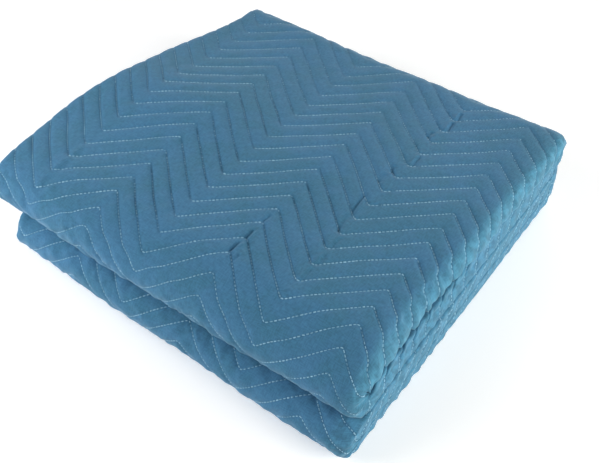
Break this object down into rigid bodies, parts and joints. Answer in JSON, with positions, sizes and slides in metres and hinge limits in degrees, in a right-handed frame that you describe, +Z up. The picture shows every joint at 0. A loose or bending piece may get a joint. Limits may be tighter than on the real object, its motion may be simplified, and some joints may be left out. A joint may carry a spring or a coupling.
{
  "type": "moving blanket",
  "caption": "Quilted moving blanket folded into a flat rectangular bundle, with two rounded lobes in front and folded strips stacked at the side.",
  "frame": {"origin": "under the middle of the folded bundle, on the surface it lies on", "axes": "+X along the two front lobes, from the left end to the pinched side, +Y from the two lobes to the single rounded back fold, +Z up through the layers"},
  "size_m": [0.492, 0.48, 0.1138],
  "materials": {
    "quilted_cloth": "matt blue woven cotton and polyester cloth, quilted over thin batting in a zigzag pattern with pale thread"
  },
  "bodies": {
    "root": {"blanket": "quilted_cloth"}
  },
  "joints": []
}
